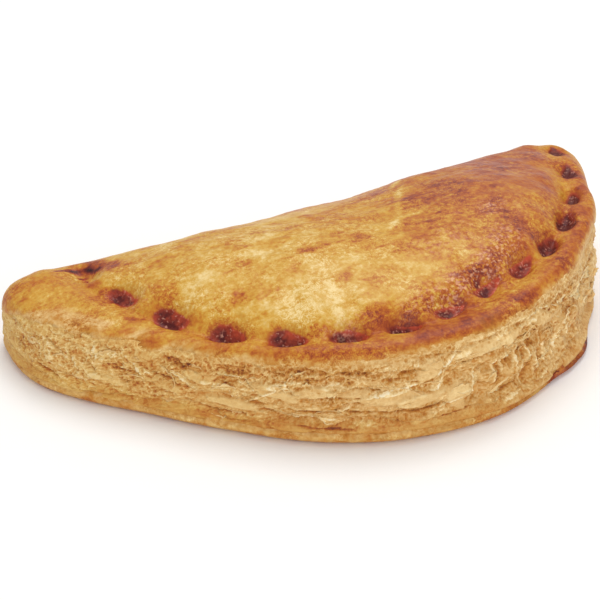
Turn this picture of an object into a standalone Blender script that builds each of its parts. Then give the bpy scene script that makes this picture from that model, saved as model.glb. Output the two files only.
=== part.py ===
# A puff pastry empanada: one solid half-moon, folded at its back and crimped shut along its cut edge
import math
import random

import bpy
import bmesh
from mathutils import Matrix, Vector, noise

MM = 0.001
NAME = "pastry"
SEED = 23

# Plan of the half-moon, in millimetres: the cut edge is an arc of an ellipse
EDGE_RADIUS_X = 79.3
EDGE_RADIUS_Y = 96.3
EDGE_CENTRE_X = -0.9
EDGE_CENTRE_Y = 14.6
FOLD_Y = 2.0
FOLD_TILT = math.radians(3.6)
FOLD_BOW = 3.0
FOLD_BOW_WIDTH = 0.6
CORNER_SHARPNESS = 12.1
LOBE_SWELL = 10.6
LOBE_ANGLE = math.radians(166)
LOBE_WIDTH = 0.34
RIGHT_LOBE_SWELL = 6.7
RIGHT_LOBE_ANGLE = math.radians(29)
RIGHT_LOBE_WIDTH = 0.20
FLANK_DIP = 1.8
FLANK_ANGLE = math.radians(-150)
FLANK_WIDTH = 0.45
EDGE_WANDER = 0.7
EDGE_WANDER_SIZE = 17.0

# Heights of the crust
RIM_HEIGHT = 24.3
LEFT_RISE = -5.7
RIGHT_RISE = 4.5
LID_RISE = 1.6
LID_MIDDLE_X = 42.2
LID_RUN = 45.0
LID_FALL = 2.5
FILLING_HEIGHT = 7.5
FILLING_FRONT = 0.95
FILLING_BACK = 1.6
FILLING_SPAN = 62.0
CRUST_WAVE = 0.5
LONG_WAVE_SIZE = 19.0
SHORT_WAVE_SIZE = 8.0

# Section of the wall: a box with round corners at the cut edge, a bull nose at the fold
CUT_NOSE = 6.0
CUT_SQUARENESS = 5.0
CUT_UNDERCUT = 3.0
LEFT_NOSE = 12.0
LEFT_SQUARENESS = 3.0
FOLD_NOSE = 26.0
FOLD_SQUARENESS = 2.1
FOLD_MIDDLE = 12.6
FOLD_UNDERCUT = 8.0
NOSE_UPRIGHT = 0.70
NOSE_RISE = 0.88
BASE_FLARE = 4.1
RIGHT_FLARE = -1.5

# The row of crimps
CRIMPS = 15
CRIMP_START = math.radians(-162)
CRIMP_END = math.radians(-12)
CRIMP_BUNCHING = 0.15
CRIMP_INSET = 9.0
CRIMP_LEFT_INSET = 2.6
CRIMP_RIGHT_INSET = -4.2
CRIMP_DRIFT_OUT = 0.66
DRIFT_OUT_AT = 3.9
DRIFT_OUT_RUN = 2.0
CRIMP_DRIFT_IN = 3.3
DRIFT_IN_AT = 7.8
DRIFT_IN_RUN = 1.5
CRIMP_LENGTH = 10.5
CRIMP_WIDTH = 6.4
CRIMP_SHRINK_FROM = 8
CRIMP_LENGTH_LOSS = 0.25
CRIMP_WIDTH_LOSS = 0.15
CRIMP_DEPTH = 2.7
CRIMP_CREASE = 0.7
CRIMP_CREASE_WIDTH = 3.2
CRIMP_CREASE_RUN = 9.0
RIM_BEAD = 0.5
RIM_BEAD_INSET = 4.5
RIM_BEAD_WIDTH = 2.6
PUCKER_HEIGHT = 0.6
PUCKER_INSET = 15.0
PUCKER_RUN = 5.0

# The open layers of the cut edge
LAYER_PITCH = 4.4
LAYER_DEPTH = 1.3
LAYER_WARP = 0.9
LAYER_PATCH_SIZE = 15.0
LAYERS_FROM = 0.22
LAYERS_TO = 0.80
LAYERS_FADE = 0.14
CRACK_WIDTH = 1.4
CRACK_WAVE = 0.04
CRACK_FADE = math.radians(24)
UPPER_CRACK_DEPTH = 1.5
UPPER_CRACK_SHARE = 0.58
UPPER_CRACK_START = math.radians(-77)
UPPER_CRACK_END = math.radians(40)
LOWER_CRACK_DEPTH = 1.2
LOWER_CRACK_SHARE = 0.30
LOWER_CRACK_START = math.radians(-127)
LOWER_CRACK_END = math.radians(-70)
POCKETS = 6
POCKET_DEPTH = 1.6
POCKET_START = math.radians(-73)
POCKET_STEP = math.radians(9)
POCKET_HALF_ANGLE = 0.045
POCKET_SHARE = 0.36
POCKET_HALF_SHARE = 0.13
LIP_MIDDLE = 1.6
LIP_SWELL = 0.9
LIP_SWELL_WIDTH = 1.9
LIP_CURL = 1.6
CURL_START = math.radians(-33)
CURL_END = math.radians(-8)
CURL_FADE = math.radians(11)

# The net of faces
COLUMNS = 180
CUT_COLUMNS = 144
BASE_RINGS = 2
LOWER_RINGS = 8
UPPER_RINGS = 9
TOP_RINGS = 13
RINGS = BASE_RINGS + LOWER_RINGS + 1 + UPPER_RINGS + TOP_RINGS
TOP_RING_STEP = 1.8

HUB_X = EDGE_CENTRE_X
HUB_Y = FOLD_Y - 0.5 * (EDGE_RADIUS_Y - EDGE_CENTRE_Y + FOLD_Y)
CORNER_RIGHT = math.radians(34)
CORNER_LEFT = math.radians(146)


def ease(low, high, value):
    share = min(max((value - low) / (high - low), 0.0), 1.0)
    return share * share * (3.0 - 2.0 * share)


def blend(first, second, share):
    return first + (second - first) * share


def bump(distance, width):
    return math.exp(-(distance / width) ** 2)


# 1 from start to end, easing to 0 over the fade on either side
def plateau(value, start, end, fade):
    return ease(start - fade, start, value) * (1.0 - ease(end, end + fade, value))


def angle_between(first, second):
    return math.remainder(first - second, 2.0 * math.pi)


def wander(x, y, z, size, channel=0.0):
    return noise.noise(Vector((x / size, y / size, z / size + 31.7 * channel + SEED)))


# 0 along the cut edge, 1 along the fold
def fold_share(angle):
    return ease(0.06, 0.60, math.sin(angle))


# Plan: how far the outline lies from the hub in a direction
def plan_radius(angle):
    along, across = math.cos(angle), math.sin(angle)
    offset = (HUB_Y - EDGE_CENTRE_Y) / EDGE_RADIUS_Y
    step_x, step_y = along / EDGE_RADIUS_X, across / EDGE_RADIUS_Y
    a = step_x ** 2 + step_y ** 2
    b = offset * step_y
    c = offset ** 2 - 1.0
    radius = (math.sqrt(b * b - a * c) - b) / a
    toward_fold = across * math.cos(FOLD_TILT) - along * math.sin(FOLD_TILT)
    if toward_fold > 0.001:
        to_fold = (FOLD_Y - HUB_Y) * math.cos(FOLD_TILT) / toward_fold
        sharpness = CORNER_SHARPNESS
        radius = (radius ** -sharpness + to_fold ** -sharpness) ** (-1.0 / sharpness)
    radius += LOBE_SWELL * bump(angle_between(angle, LOBE_ANGLE), LOBE_WIDTH)
    radius += RIGHT_LOBE_SWELL * bump(angle_between(angle, RIGHT_LOBE_ANGLE), RIGHT_LOBE_WIDTH)
    radius -= FLANK_DIP * bump(angle_between(angle, FLANK_ANGLE), FLANK_WIDTH)
    radius += FOLD_BOW * bump(angle_between(angle, 0.5 * math.pi), FOLD_BOW_WIDTH)
    loose = EDGE_WANDER * (1.0 - 0.6 * fold_share(angle))
    return radius + loose * wander(radius * along, radius * across, 0.0, EDGE_WANDER_SIZE, 1)


def inside_cut_edge(x, y):
    span = math.hypot((x - EDGE_CENTRE_X) / EDGE_RADIUS_X, (y - EDGE_CENTRE_Y) / EDGE_RADIUS_Y)
    return (1.0 - span) * EDGE_RADIUS_Y


def rim_height(x):
    return RIM_HEIGHT + LEFT_RISE * ease(0.0, -80.0, x) + RIGHT_RISE * ease(0.0, 80.0, x)


# Crimps follow the cut edge; the row drifts out left of the middle and in right of it
def crimp_row():
    rng = random.Random(SEED)
    row = []
    for index in range(CRIMPS):
        share = index / (CRIMPS - 1)
        share += CRIMP_BUNCHING * share * (1.0 - share)
        angle = CRIMP_START + (CRIMP_END - CRIMP_START) * share
        inset = CRIMP_INSET + CRIMP_LEFT_INSET * ease(-0.5, -1.0, math.cos(angle))
        inset += CRIMP_RIGHT_INSET * ease(0.5, 1.0, math.cos(angle))
        inset -= CRIMP_DRIFT_OUT * bump(index - DRIFT_OUT_AT, DRIFT_OUT_RUN)
        inset += CRIMP_DRIFT_IN * bump(index - DRIFT_IN_AT, DRIFT_IN_RUN)
        x = EDGE_CENTRE_X + (EDGE_RADIUS_X - inset) * math.cos(angle)
        y = EDGE_CENTRE_Y + (EDGE_RADIUS_Y - inset) * math.sin(angle)
        lean = math.atan2(EDGE_RADIUS_Y * math.cos(angle), -EDGE_RADIUS_X * math.sin(angle))
        shrink = ease(CRIMP_SHRINK_FROM, CRIMPS - 1, index)
        length = CRIMP_LENGTH * rng.uniform(0.86, 1.08) * (1.0 - CRIMP_LENGTH_LOSS * shrink)
        width = CRIMP_WIDTH * rng.uniform(0.88, 1.10) * (1.0 - CRIMP_WIDTH_LOSS * shrink)
        row.append((x, y, math.cos(lean), math.sin(lean), length / 2.0, width / 2.0))
    return row


CRIMP_ROW = crimp_row()


# Each crimp is an oval dent; a shallow crease joins them, and puckers rise behind the gaps
def crimp_relief(x, y):
    dent, crease, nearest = 0.0, 0.0, 1e9
    for cx, cy, tangent_x, tangent_y, half_length, half_width in CRIMP_ROW:
        dx, dy = x - cx, y - cy
        along = dx * tangent_x + dy * tangent_y
        across = dy * tangent_x - dx * tangent_y
        reach = math.hypot(along / half_length, across / half_width)
        dent = max(dent, 1.0 - ease(0.35, 1.25, reach))
        crease = max(crease, bump(across, CRIMP_CREASE_WIDTH) * bump(along, CRIMP_CREASE_RUN))
        nearest = min(nearest, abs(along) + 0.3 * abs(across))
    inset = inside_cut_edge(x, y)
    pucker = PUCKER_HEIGHT * ease(2.0, 7.0, nearest) * bump(inset - PUCKER_INSET, PUCKER_RUN)
    bead = RIM_BEAD * bump(inset - RIM_BEAD_INSET, RIM_BEAD_WIDTH)
    return pucker + bead - CRIMP_DEPTH * dent - CRIMP_CREASE * crease


# The filling pushes the lid up steeply behind the crimps and lets it down gently to the fold
def filling_bulge(x, y, inset):
    from_crimps = max(inset - CRIMP_INSET, 0.0)
    from_fold = max(FOLD_Y - y, 0.0)
    span = max(from_crimps + from_fold, 1.0)
    across = from_crimps / span
    summit = FILLING_FRONT / (FILLING_FRONT + FILLING_BACK)
    tallest = summit ** FILLING_FRONT * (1.0 - summit) ** FILLING_BACK
    profile = across ** FILLING_FRONT * (1.0 - across) ** FILLING_BACK / tallest
    return FILLING_HEIGHT * profile * ease(8.0, FILLING_SPAN, span)


def crust_height(x, y):
    inset = inside_cut_edge(x, y)
    lid = LID_RISE * ease(CRIMP_INSET, CRIMP_INSET + LID_RUN, inset)
    lid *= 1.0 - min(abs((x - LID_MIDDLE_X) / EDGE_RADIUS_X), 1.0) ** LID_FALL
    wave = wander(x, y, 0.0, LONG_WAVE_SIZE, 2) + 0.6 * wander(x, y, 0.0, SHORT_WAVE_SIZE, 3)
    return rim_height(x) + lid + filling_bulge(x, y, inset) + CRUST_WAVE * wave


# The open layers: ledges that wander along the edge, two long cracks, pockets and a bottom lip
def layer_relief(angle, x, y, z, wall_height):
    share = z / wall_height
    warp = LAYER_WARP * (wander(x, y, 0.5 * z, 24.0, 4) + 0.5 * wander(x, y, z, 9.0, 5))
    level = z / LAYER_PITCH + warp
    patch = 0.35 + 1.3 * abs(wander(x, y, z, LAYER_PATCH_SIZE, 6))
    relief = -LAYER_DEPTH * patch * (level - math.floor(level)) ** 1.6
    upper = UPPER_CRACK_DEPTH * plateau(angle, UPPER_CRACK_START, UPPER_CRACK_END, CRACK_FADE)
    lower = LOWER_CRACK_DEPTH * plateau(angle, LOWER_CRACK_START, LOWER_CRACK_END, CRACK_FADE)
    wave = CRACK_WAVE * wander(x, y, 0.0, 12.0, 7)
    relief -= upper * bump(z - wall_height * (UPPER_CRACK_SHARE + wave), CRACK_WIDTH)
    relief -= lower * bump(z - wall_height * (LOWER_CRACK_SHARE + wave), CRACK_WIDTH)
    for index in range(POCKETS):
        aside = angle_between(angle, POCKET_START + index * POCKET_STEP)
        rise = share - POCKET_SHARE - 0.06 * math.sin(2.3 * index)
        relief -= POCKET_DEPTH * bump(aside, POCKET_HALF_ANGLE) * bump(rise, POCKET_HALF_SHARE)
    relief *= plateau(share, LAYERS_FROM, LAYERS_TO, LAYERS_FADE)
    relief += LIP_SWELL * bump(z - LIP_MIDDLE, LIP_SWELL_WIDTH)
    curl = LIP_CURL * plateau(angle, CURL_START, CURL_END, CURL_FADE)
    return relief + curl * (1.0 - ease(0.3, 1.6, abs(z - LIP_MIDDLE)))


# Rounded corner of the wall: how far in and how high at a share of the way round it
def nose(share, squareness):
    root = 1.0 / squareness
    if share <= NOSE_UPRIGHT:
        rise = NOSE_RISE * share / NOSE_UPRIGHT
        return 1.0 - (1.0 - rise ** squareness) ** root, rise
    turn = 1.0 - (1.0 - NOSE_RISE ** squareness) ** root
    inward = blend(turn, 1.0, (share - NOSE_UPRIGHT) / (1.0 - NOSE_UPRIGHT))
    return inward, (1.0 - (1.0 - inward) ** squareness) ** root


def column_angle(column):
    if column < CUT_COLUMNS:
        span = 2.0 * math.pi - (CORNER_LEFT - CORNER_RIGHT)
        return CORNER_RIGHT - span * column / CUT_COLUMNS
    share = (column - CUT_COLUMNS) / (COLUMNS - CUT_COLUMNS)
    return CORNER_LEFT - (CORNER_LEFT - CORNER_RIGHT) * share


# What every point of one column shares
def column_section(column):
    angle = column_angle(column)
    fold = fold_share(angle)
    radius = plan_radius(angle)
    edge_x = HUB_X + radius * math.cos(angle)
    edge_y = HUB_Y + radius * math.sin(angle)
    wall_top = crust_height(edge_x, edge_y)
    flare = (BASE_FLARE + RIGHT_FLARE * ease(-10.0, 60.0, edge_x)) * (1.0 - fold)
    left = ease(-30.0, -75.0, edge_x)
    cut_nose = blend(CUT_NOSE, LEFT_NOSE, left)
    cut_squareness = blend(CUT_SQUARENESS, LEFT_SQUARENESS, left)
    return {
        "angle": angle,
        "fold": fold,
        "radius": radius,
        "edge": (edge_x, edge_y),
        "wall_top": wall_top,
        "flare": flare,
        "middle": blend(0.5 * wall_top, FOLD_MIDDLE, fold),
        "undercut": blend(CUT_UNDERCUT, FOLD_UNDERCUT, fold),
        "nose_run": blend(cut_nose, FOLD_NOSE, fold),
        "squareness": blend(cut_squareness, FOLD_SQUARENESS, fold),
    }


def crust_at(section, reach):
    x = HUB_X + reach * math.cos(section["angle"])
    y = HUB_Y + reach * math.sin(section["angle"])
    return crust_height(x, y) + crimp_relief(x, y)


# The wall leans out toward its foot and carries the open layers
def wall_reach(section, reach, z):
    lean = section["flare"] * max(1.0 - z / section["wall_top"], 0.0)
    edge_x, edge_y = section["edge"]
    layers = layer_relief(section["angle"], edge_x, edge_y, z, section["wall_top"])
    return reach + lean + layers * (1.0 - section["fold"])


# Reach from the hub and height of one point, from the underside up and over
def ring_place(section, ring):
    foot_ring = BASE_RINGS + 1
    middle_ring = foot_ring + LOWER_RINGS
    rim_ring = middle_ring + UPPER_RINGS
    if ring < foot_ring:
        foot = wall_reach(section, section["radius"] - section["undercut"], 0.0)
        return foot * ring / foot_ring, 0.0
    if ring < middle_ring:
        inward, rise = nose((middle_ring - ring) / LOWER_RINGS, section["squareness"])
        z = section["middle"] * (1.0 - rise)
        return wall_reach(section, section["radius"] - section["undercut"] * inward, z), z
    if ring <= rim_ring:
        inward, rise = nose((ring - middle_ring) / UPPER_RINGS, section["squareness"])
        reach = section["radius"] - section["nose_run"] * inward
        z = blend(section["middle"], crust_at(section, reach), rise)
        return wall_reach(section, reach, z), z
    left_over = section["radius"] - section["nose_run"]
    step = ring - rim_ring
    dense = min(TOP_RING_STEP * step / left_over, 1.0)
    even = step / (TOP_RINGS + 1)
    late = ease(6.0, TOP_RINGS + 1, step)
    reach = left_over * (1.0 - blend(dense, even, max(late, section["fold"])))
    return reach, crust_at(section, reach)


# A globe of faces is pulled out into the pastry, ring by ring
def make_pastry(collection):
    sections = [column_section(column) for column in range(COLUMNS)]
    mesh = bpy.data.meshes.new(NAME)
    net = bmesh.new()
    bmesh.ops.create_uvsphere(net, u_segments=COLUMNS, v_segments=RINGS + 1, radius=1.0)
    for vertex in net.verts:
        turn = math.atan2(vertex.co.y, vertex.co.x)
        column = round(turn / (2.0 * math.pi) * COLUMNS) % COLUMNS
        tilt = math.asin(min(max(vertex.co.z, -1.0), 1.0))
        ring = round((tilt / math.pi + 0.5) * (RINGS + 1))
        section = sections[-column % COLUMNS]
        reach, z = ring_place(section, ring)
        x = HUB_X + reach * math.cos(section["angle"])
        y = HUB_Y + reach * math.sin(section["angle"])
        vertex.co = Vector((x, y, z)) * MM
    bmesh.ops.triangulate(net, faces=net.faces)
    net.to_mesh(mesh)
    net.free()
    pastry = bpy.data.objects.new(NAME, mesh)
    collection.objects.link(pastry)
    return pastry


# The origin is under the middle of the pastry's box, on the surface it rests on
def centre_on_origin(pastry):
    points = [vertex.co for vertex in pastry.data.vertices]
    middle_x = 0.5 * (min(p.x for p in points) + max(p.x for p in points))
    middle_y = 0.5 * (min(p.y for p in points) + max(p.y for p in points))
    pastry.data.transform(Matrix.Translation((-middle_x, -middle_y, 0.0)))


def baked_crust():
    crust = bpy.data.materials.new("baked_crust")
    crust.use_nodes = True
    shader = crust.node_tree.nodes["Principled BSDF"]
    shader.inputs["Base Color"].default_value = (0.60, 0.33, 0.09, 1.0)
    shader.inputs["Roughness"].default_value = 0.45
    shader.inputs["Metallic"].default_value = 0.0
    crust.diffuse_color = (0.60, 0.33, 0.09, 1.0)
    return crust


def build():
    for item in list(bpy.data.objects):
        bpy.data.objects.remove(item, do_unlink=True)
    collection = bpy.data.collections.new("puff pastry empanada")
    bpy.context.scene.collection.children.link(collection)
    pastry = make_pastry(collection)
    centre_on_origin(pastry)
    pastry.data.materials.append(baked_crust())
    pastry.data.shade_smooth()


build()
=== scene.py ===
# Looks of the puff pastry empanada: glazed crust, open layers, torn flakes, floor, light and camera
import math
import random

import bpy
import numpy as np
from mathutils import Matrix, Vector, noise


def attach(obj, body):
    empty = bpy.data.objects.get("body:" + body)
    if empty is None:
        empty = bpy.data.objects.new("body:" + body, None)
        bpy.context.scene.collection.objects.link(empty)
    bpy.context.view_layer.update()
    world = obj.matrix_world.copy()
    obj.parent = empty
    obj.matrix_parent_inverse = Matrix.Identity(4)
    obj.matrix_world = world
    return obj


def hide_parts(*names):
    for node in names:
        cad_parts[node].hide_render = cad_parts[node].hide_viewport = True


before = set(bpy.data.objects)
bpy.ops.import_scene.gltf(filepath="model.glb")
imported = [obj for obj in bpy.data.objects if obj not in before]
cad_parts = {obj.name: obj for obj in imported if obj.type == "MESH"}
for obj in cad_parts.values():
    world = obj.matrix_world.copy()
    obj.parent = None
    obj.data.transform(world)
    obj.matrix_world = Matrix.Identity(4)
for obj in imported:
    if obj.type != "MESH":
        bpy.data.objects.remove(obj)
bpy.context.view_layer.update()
mm = 0.001
seed = 23

# the same sizes as the solid, in millimetres and degrees
form = {
    "edgeRadiusX": 79.3, "edgeRadiusY": 96.3, "edgeCentreX": -0.9, "edgeCentreY": 14.6,
    "foldY": 2.0, "foldTilt": 3.6, "foldBow": 3.0, "foldBowWidth": 0.6, "cornerSharpness": 12.1,
    "lobeSwell": 10.6, "lobeAngle": 166, "lobeWidth": 0.34,
    "rightLobeSwell": 6.1, "rightLobeAngle": 29, "rightLobeWidth": 0.20,
    "flankDip": 1.8, "flankAngle": -150, "flankWidth": 0.45, "edgeWander": 0.7,
    "rimHeight": 24.3, "leftRise": -5.7, "rightRise": 4.5, "lidRise": 1.6, "lidMiddleX": 42.2,
    "lidRun": 45.0, "lidFall": 2.5, "fillingHeight": 7.5, "fillingFront": 0.95, "fillingBack": 1.6,
    "fillingSpan": 62.0, "crustWave": 0.5,
    "cutNose": 6.0, "cutSquareness": 5.0, "cutUndercut": 3.0, "leftNose": 12.0, "leftSquareness": 3.9,
    "foldNose": 26.0, "foldSquareness": 2.1, "foldMiddle": 12.6, "foldUndercut": 8.0,
    "baseFlare": 4.1, "rightFlare": -1.2, "endTuck": 2.7, "endSwell": 1.1, "endAngle": 2, "endWidth": 0.16,
    "lifts": ((-80, -6, 8, 1.2), (24, -8, 7, 1.1)),
    "soleTurn": (-210, -190, -170, -95, -75, -55, -30), "sole": (1.4, 2.2, 4.2, 3.4, 1.6, 0.9, 0.6),
}
crimps = {
    "count": 15, "start": -162, "end": -12, "bunching": 0.15,
    "inset": 9.0, "leftInset": 2.6, "rightInset": -4.2, "driftOut": 0.66, "driftIn": 3.3,
    "length": 10.5, "width": 6.4, "depth": 1.7, "crease": 0.7, "bead": 0.5, "pucker": 0.6,
}
# ledges, cracks, pockets and curled lip of the cut edge; a crack has its start, end, depth and height
ledges = {
    "height": 4.4, "depth": 1.3, "crackHeight": 1.4, "pockets": 6, "pocketStart": -73, "pocketStep": 9,
    "pocketDepth": 1.6, "curl": 1.6, "lip": 0.9, "lipHeight": 1.6,
    "cracks": ((-77, 40, 1.5, 0.58), (-127, -70, 1.2, 0.30)),
}
# where the rounded corner of the wall turns over: share of its height, share of the rings up to there
noseTurn = {"rise": 0.88, "share": 0.70}
# the solid's box has its middle over the origin; the same step is taken here
pastryShift = (2.03, 38.53)
farAway = 1e9
hubX = form["edgeCentreX"]
hubY = form["foldY"] - 0.5 * (form["edgeRadiusY"] - form["edgeCentreY"] + form["foldY"])
cornerRight = math.radians(34)
cornerLeft = math.radians(146)


def ease(low, high, value):
    share = np.clip((value - low) / (high - low), 0.0, 1.0)
    return share * share * (3.0 - 2.0 * share)


def blend(first, second, share):
    return first + (second - first) * share


def bump(distance, width):
    return np.exp(-(distance / width) ** 2)


def plateau(value, start, end, fade):
    return ease(start - fade, start, value) * (1.0 - ease(end, end + fade, value))


def angleBetween(first, second):
    return (first - second + np.pi) % (2.0 * np.pi) - np.pi


def atReach(angle, reach):
    return hubX + reach * np.cos(angle), hubY + reach * np.sin(angle)


# how far a point lies along and across a direction, from a centre
def alongAcross(x, y, centreX, centreY, turnX, turnY):
    along = (x - centreX) * turnX + (y - centreY) * turnY
    return along, (y - centreY) * turnX - (x - centreX) * turnY


def spots(x, y, z, sizes, channel):
    parts = np.broadcast_arrays(x / sizes[0], y / sizes[1], z / sizes[2] + 31.7 * channel + seed)
    return np.stack(parts, -1)


# smooth noise, about -1 to 1
def wander(x, y, z, size, channel=0.0, up=None):
    points = spots(x, y, z, (size, size, up or size), channel)
    values = [noise.noise(p) for p in points.reshape(-1, 3).tolist()]
    return np.array(values).reshape(points.shape[:-1])


# noise in octaves, about -1 to 1
def rough(x, y, z, size, channel=0.0, up=None, octaves=3):
    total, weight = 0.0, 0.0
    for step in range(octaves):
        share = 0.55 ** step
        scale = 0.5 ** step
        tall = (up or size) * scale
        total = total + share * wander(x, y, z, size * scale, channel + 0.37 * step, tall)
        weight += share
    return total / weight * 1.4


def foldShare(angle):
    return ease(0.06, 0.60, np.sin(angle))


# how far the outline lies from the hub
def planRadius(angle):
    tilt = math.radians(form["foldTilt"])
    along, across = np.cos(angle), np.sin(angle)
    offset = (hubY - form["edgeCentreY"]) / form["edgeRadiusY"]
    a = (along / form["edgeRadiusX"]) ** 2 + (across / form["edgeRadiusY"]) ** 2
    b = offset * across / form["edgeRadiusY"]
    radius = (np.sqrt(b * b - a * (offset ** 2 - 1.0)) - b) / a
    toward = np.maximum(across * math.cos(tilt) - along * math.sin(tilt), 0.001)
    toFold = (form["foldY"] - hubY) * math.cos(tilt) / toward
    sharp = form["cornerSharpness"]
    radius = (radius ** -sharp + toFold ** -sharp) ** (-1.0 / sharp)
    for swell, place, width in (("lobeSwell", "lobeAngle", "lobeWidth"),
                                ("rightLobeSwell", "rightLobeAngle", "rightLobeWidth"),
                                ("endSwell", "endAngle", "endWidth")):
        radius = radius + form[swell] * bump(angleBetween(angle, math.radians(form[place])), form[width])
    flank = bump(angleBetween(angle, math.radians(form["flankAngle"])), form["flankWidth"])
    radius = radius - form["flankDip"] * flank
    radius = radius + form["foldBow"] * bump(angleBetween(angle, 0.5 * math.pi), form["foldBowWidth"])
    loose = form["edgeWander"] * (1.0 - 0.6 * foldShare(angle))
    return radius + loose * wander(radius * along, radius * across, 0.0, 17.0, 1)


# how far a point lies inside the ellipse of the cut edge, in mm
def insideCutEdge(x, y):
    aside = (x - form["edgeCentreX"]) / form["edgeRadiusX"]
    ahead = (y - form["edgeCentreY"]) / form["edgeRadiusY"]
    return (1.0 - np.hypot(aside, ahead)) * form["edgeRadiusY"]


# the same fifteen places and sizes as in the solid
def crimpRow():
    draw = random.Random(seed)
    row = []
    for index in range(crimps["count"]):
        share = index / (crimps["count"] - 1)
        share += crimps["bunching"] * share * (1.0 - share)
        angle = math.radians(crimps["start"] + (crimps["end"] - crimps["start"]) * share)
        inset = crimps["inset"] + crimps["leftInset"] * ease(-0.5, -1.0, math.cos(angle))
        inset += crimps["rightInset"] * ease(0.5, 1.0, math.cos(angle))
        inset += crimps["driftIn"] * bump(index - 7.8, 1.5) - crimps["driftOut"] * bump(index - 3.9, 2.0)
        x = form["edgeCentreX"] + (form["edgeRadiusX"] - inset) * math.cos(angle)
        y = form["edgeCentreY"] + (form["edgeRadiusY"] - inset) * math.sin(angle)
        lean = math.atan2(form["edgeRadiusY"] * math.cos(angle), -form["edgeRadiusX"] * math.sin(angle))
        shrink = ease(8, 14, index)
        length = crimps["length"] * draw.uniform(0.86, 1.08) * (1.0 - 0.25 * shrink)
        width = crimps["width"] * draw.uniform(0.88, 1.10) * (1.0 - 0.15 * shrink)
        row.append((x, y, math.cos(lean), math.sin(lean), length / 2.0, width / 2.0))
    return row


crimpPlaces = crimpRow()


# height that the crimps, the pucker between them and the bead outside them take away or add
def crimpRelief(x, y):
    dent, crease, near = 0.0 * x, 0.0 * x, 0.0 * x + farAway
    for cx, cy, tx, ty, halfLength, halfWidth in crimpPlaces:
        along, across = alongAcross(x, y, cx, cy, tx, ty)
        reach = np.hypot(along / halfLength, across / halfWidth)
        dent = np.maximum(dent, 1.0 - ease(0.35, 1.25, reach))
        crease = np.maximum(crease, bump(across, 3.2) * bump(along, 9.0))
        near = np.minimum(near, np.abs(along) + 0.3 * np.abs(across))
    inset = insideCutEdge(x, y)
    pucker = crimps["pucker"] * ease(2.0, 7.0, near) * bump(inset - 15.0, 5.0)
    bead = crimps["bead"] * bump(inset - 4.5, 2.6)
    return pucker + bead - crimps["depth"] * dent - crimps["crease"] * crease


def crustHeight(x, y):
    inset = insideCutEdge(x, y)
    rim = form["rimHeight"] + form["leftRise"] * ease(0.0, -80.0, x)
    rim = rim + form["rightRise"] * ease(0.0, 80.0, x)
    lid = form["lidRise"] * ease(crimps["inset"], crimps["inset"] + form["lidRun"], inset)
    aside = np.minimum(np.abs((x - form["lidMiddleX"]) / form["edgeRadiusX"]), 1.0)
    lid = lid * (1.0 - aside ** form["lidFall"])
    fromCrimps = np.maximum(inset - crimps["inset"], 0.0)
    span = np.maximum(fromCrimps + np.maximum(form["foldY"] - y, 0.0), 1.0)
    across = fromCrimps / span
    front, back = form["fillingFront"], form["fillingBack"]
    summit = front / (front + back)
    tallest = summit ** front * (1.0 - summit) ** back
    filling = across ** front * np.maximum(1.0 - across, 0.0) ** back / tallest
    filling = form["fillingHeight"] * filling * ease(8.0, form["fillingSpan"], span)
    wave = wander(x, y, 0.0, 19.0, 2) + 0.6 * wander(x, y, 0.0, 8.0, 3)
    lift = 0.0
    for liftX, liftY, reach, height in form["lifts"]:
        lift = lift + height * bump(np.hypot(x - liftX, y - liftY), reach)
    return rim + lid + filling + lift + form["crustWave"] * wave


# rounded corner of the wall: how far in, at a share of its height
def noseInward(rise, squareness):
    return 1.0 - np.maximum(1.0 - np.clip(rise, 0.0, 1.0) ** squareness, 0.0) ** (1.0 / squareness)


# rings evenly spread over that corner: by height up to its turn, then by how far in they are
def nose(share, squareness):
    turn = noseInward(noseTurn["rise"], squareness)
    rise = noseTurn["rise"] * share / noseTurn["share"]
    inward = turn + (1.0 - turn) * (share - noseTurn["share"]) / (1.0 - noseTurn["share"])
    late = share > noseTurn["share"]
    over = (1.0 - np.maximum(1.0 - np.clip(inward, 0.0, 1.0), 0.0) ** squareness) ** (1.0 / squareness)
    return np.where(late, inward, noseInward(rise, squareness)), np.where(late, over, rise)


# what every point of a column of faces shares
def sectionsAt(angle):
    fold = foldShare(angle)
    radius = planRadius(angle)
    x, y = atReach(angle, radius)
    wallTop = crustHeight(x, y)
    left = ease(-30.0, -75.0, x)
    tucked = form["endTuck"] * plateau(np.degrees(angle), -12.0, 60.0, 16.0)
    flare = form["baseFlare"] + form["rightFlare"] * ease(-10.0, 60.0, x) - tucked
    noseRun = blend(form["cutNose"], form["leftNose"], left)
    squareness = blend(form["cutSquareness"], form["leftSquareness"], left)
    return {
        "angle": angle, "fold": fold, "radius": radius, "x": x, "y": y, "wallTop": wallTop,
        "flare": flare * (1.0 - fold),
        "middle": blend(0.5 * wallTop, form["foldMiddle"], fold),
        "undercut": blend(form["cutUndercut"], form["foldUndercut"], fold),
        "noseRun": blend(noseRun, form["foldNose"], fold),
        "squareness": blend(squareness, form["foldSquareness"], fold),
    }


# how far the rounded bottom edge draws in
def soleInward(angle, z):
    size = np.interp(np.degrees(angle), form["soleTurn"], form["sole"])
    return size * (1.0 - np.sqrt(1.0 - np.clip(1.0 - z / size, 0.0, 1.0) ** 2)) * (1.0 - foldShare(angle))


# the wall of the solid at a height: reach from the hub, without the layers
def wallReach(part, z):
    middle = part["middle"]
    low = noseInward(1.0 - z / middle, part["squareness"]) * part["undercut"]
    high = noseInward((z - middle) / (part["wallTop"] - middle), part["squareness"]) * part["noseRun"]
    lean = part["flare"] * np.maximum(1.0 - z / part["wallTop"], 0.0)
    return part["radius"] - np.where(z < middle, low, high) + lean - soleInward(part["angle"], z)


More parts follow.
